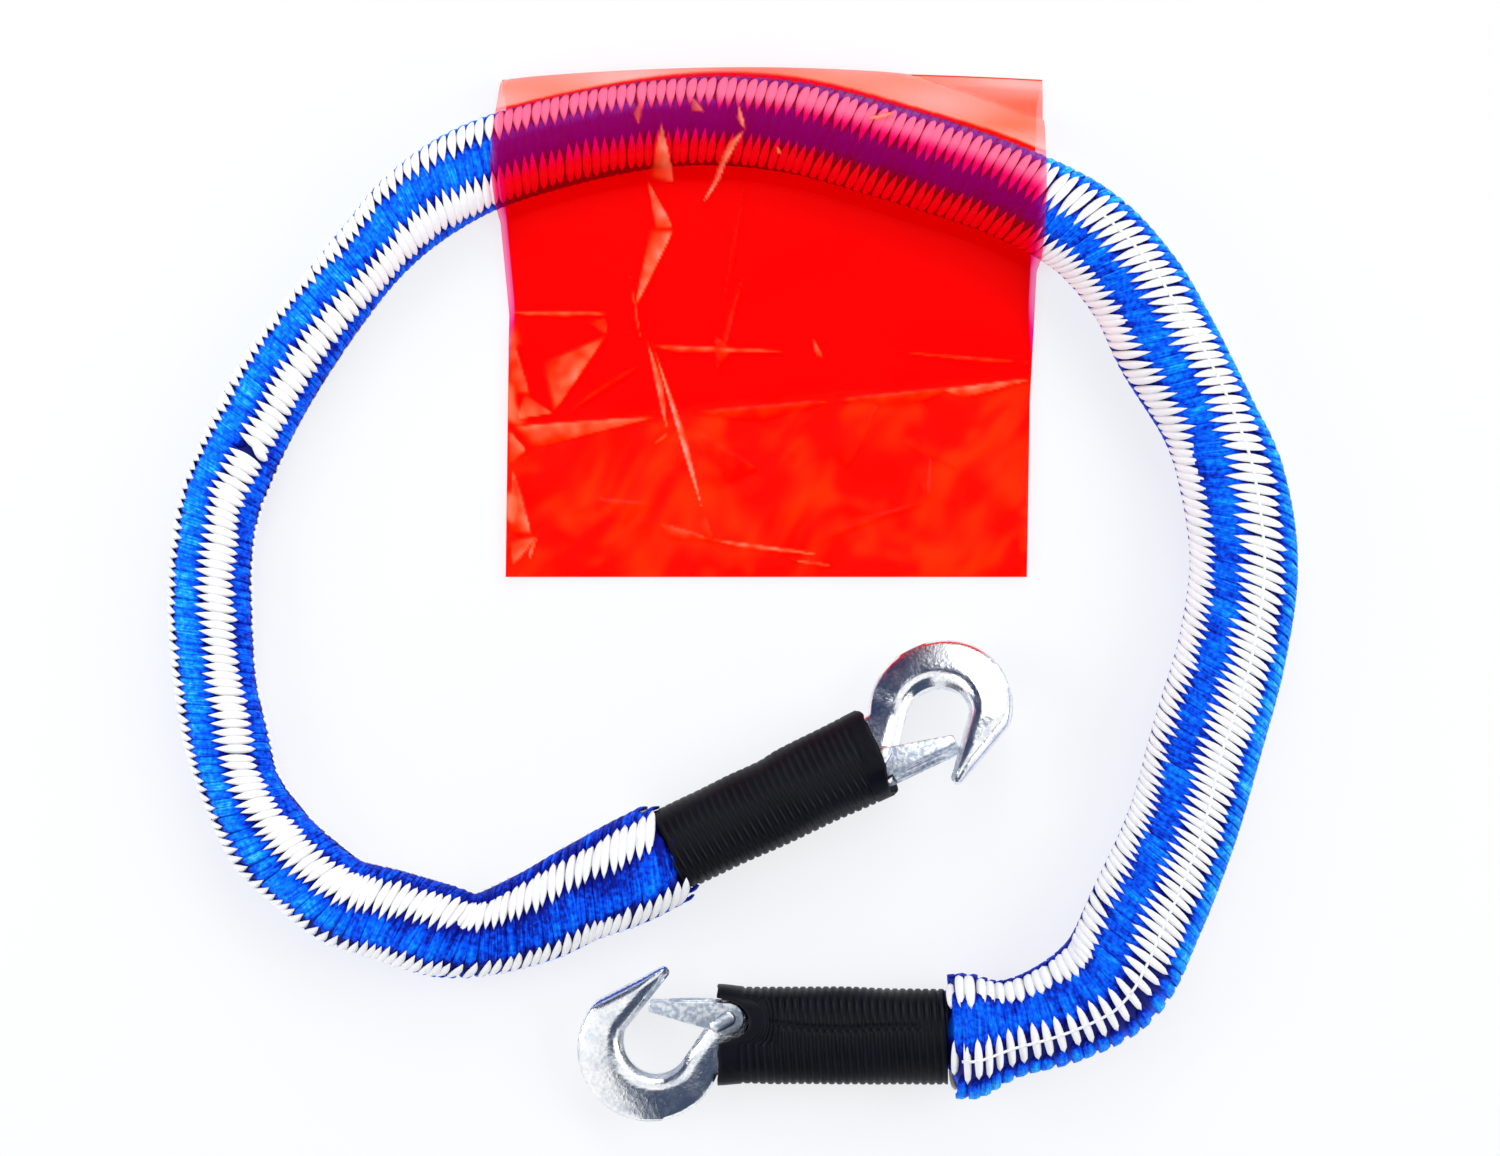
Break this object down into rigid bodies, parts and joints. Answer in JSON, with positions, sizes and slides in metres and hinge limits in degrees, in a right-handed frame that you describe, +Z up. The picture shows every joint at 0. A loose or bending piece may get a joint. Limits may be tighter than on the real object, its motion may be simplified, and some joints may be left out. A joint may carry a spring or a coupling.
{
  "type": "elastic tow rope",
  "caption": "Elastic tow rope in an open loop: gathered striped braid over rubber strands, ribbed end sleeves, latched forged hooks and a folded red film flag.",
  "frame": {"origin": "on the floor under the middle of the loop's footprint", "axes": "+Z up from the floor, +X across the loop towards the arm that leads to end B, +Y towards the flag's fold"},
  "size_m": [0.4518, 0.423, 0.043],
  "materials": {
    "braid": "gathered polypropylene braid in blue and white stripes",
    "rubber": "natural rubber strand",
    "sleeve": "ribbed black PVC, slightly glossy",
    "zinc": "bright zinc plate on forged and pressed steel",
    "spring": "spring wire",
    "film": "thin translucent red film"
  },
  "bodies": {
    "rope": {"cover_end_a": "braid", "cover_left": "braid", "cover_top": "braid", "cover_right": "braid", "cover_end_b": "braid", "rubber_strand_1": "rubber", "rubber_strand_2": "rubber", "rubber_strand_3": "rubber", "rubber_strand_4": "rubber", "flag_saddle": "film"},
    "flag": {"flag_front_panel": "film", "flag_back_panel": "film"},
    "end_a": {"sleeve_a": "sleeve", "ferrule_a": "zinc", "eye_loop_a": "braid"},
    "hook_a": {"hook_a": "zinc", "latch_rivet_a": "zinc", "latch_spring_a": "spring"},
    "latch_a": {"latch_a": "zinc"},
    "end_b": {"sleeve_b": "sleeve", "ferrule_b": "zinc", "eye_loop_b": "braid"},
    "hook_b": {"hook_b": "zinc", "latch_rivet_b": "zinc", "latch_spring_b": "spring"},
    "latch_b": {"latch_b": "zinc"}
  },
  "joints": [
    {"name": "end_a_stretch", "type": "slide", "parent": "rope", "child": "end_a", "axis": [0.9026, 0.4305, 0], "range_m": [0, 0.035], "stiffness_N_per_m": 600, "deforming": ["cover_end_a", "rubber_strand_1", "rubber_strand_2", "rubber_strand_3", "rubber_strand_4"]},
    {"name": "hook_a_swing", "type": "hinge", "parent": "end_a", "child": "hook_a", "pos_m": [0.04224, -0.06954, 0.02103], "axis": [-0.2468, 0.4362, 0.8653], "range_deg": [-3, 3]},
    {"name": "latch_a_open", "type": "hinge", "parent": "hook_a", "child": "latch_a", "pos_m": [0.05814, -0.06886, 0.02522], "axis": [-0.2468, 0.4362, 0.8653], "range_deg": [0, 25], "stiffness_Nm_per_rad": 0.05, "springref_deg": -20.05, "deforming": ["latch_spring_a"]},
    {"name": "end_b_stretch", "type": "slide", "parent": "rope", "child": "end_b", "axis": [-1, 0, 0], "range_m": [0, 0.035], "stiffness_N_per_m": 600, "deforming": ["cover_end_b", "rubber_strand_1", "rubber_strand_2", "rubber_strand_3", "rubber_strand_4"]},
    {"name": "hook_b_swing", "type": "hinge", "parent": "end_b", "child": "hook_b", "pos_m": [0.01252, -0.1762, 0.01441], "axis": [-0.0574, 0, 0.9984], "range_deg": [-3, 3]},
    {"name": "latch_b_open", "type": "hinge", "parent": "hook_b", "child": "latch_b", "pos_m": [-0.00226, -0.169, 0.01356], "axis": [-0.0574, 0, 0.9984], "range_deg": [0, 25], "stiffness_Nm_per_rad": 0.05, "springref_deg": -20.05, "deforming": ["latch_spring_b"]},
    {"name": "flag_flap", "type": "hinge", "parent": "rope", "child": "flag", "pos_m": [0.0134, 0.128, 0.0013], "axis": [-1, 0, 0], "range_deg": [0, 95]}
  ]
}
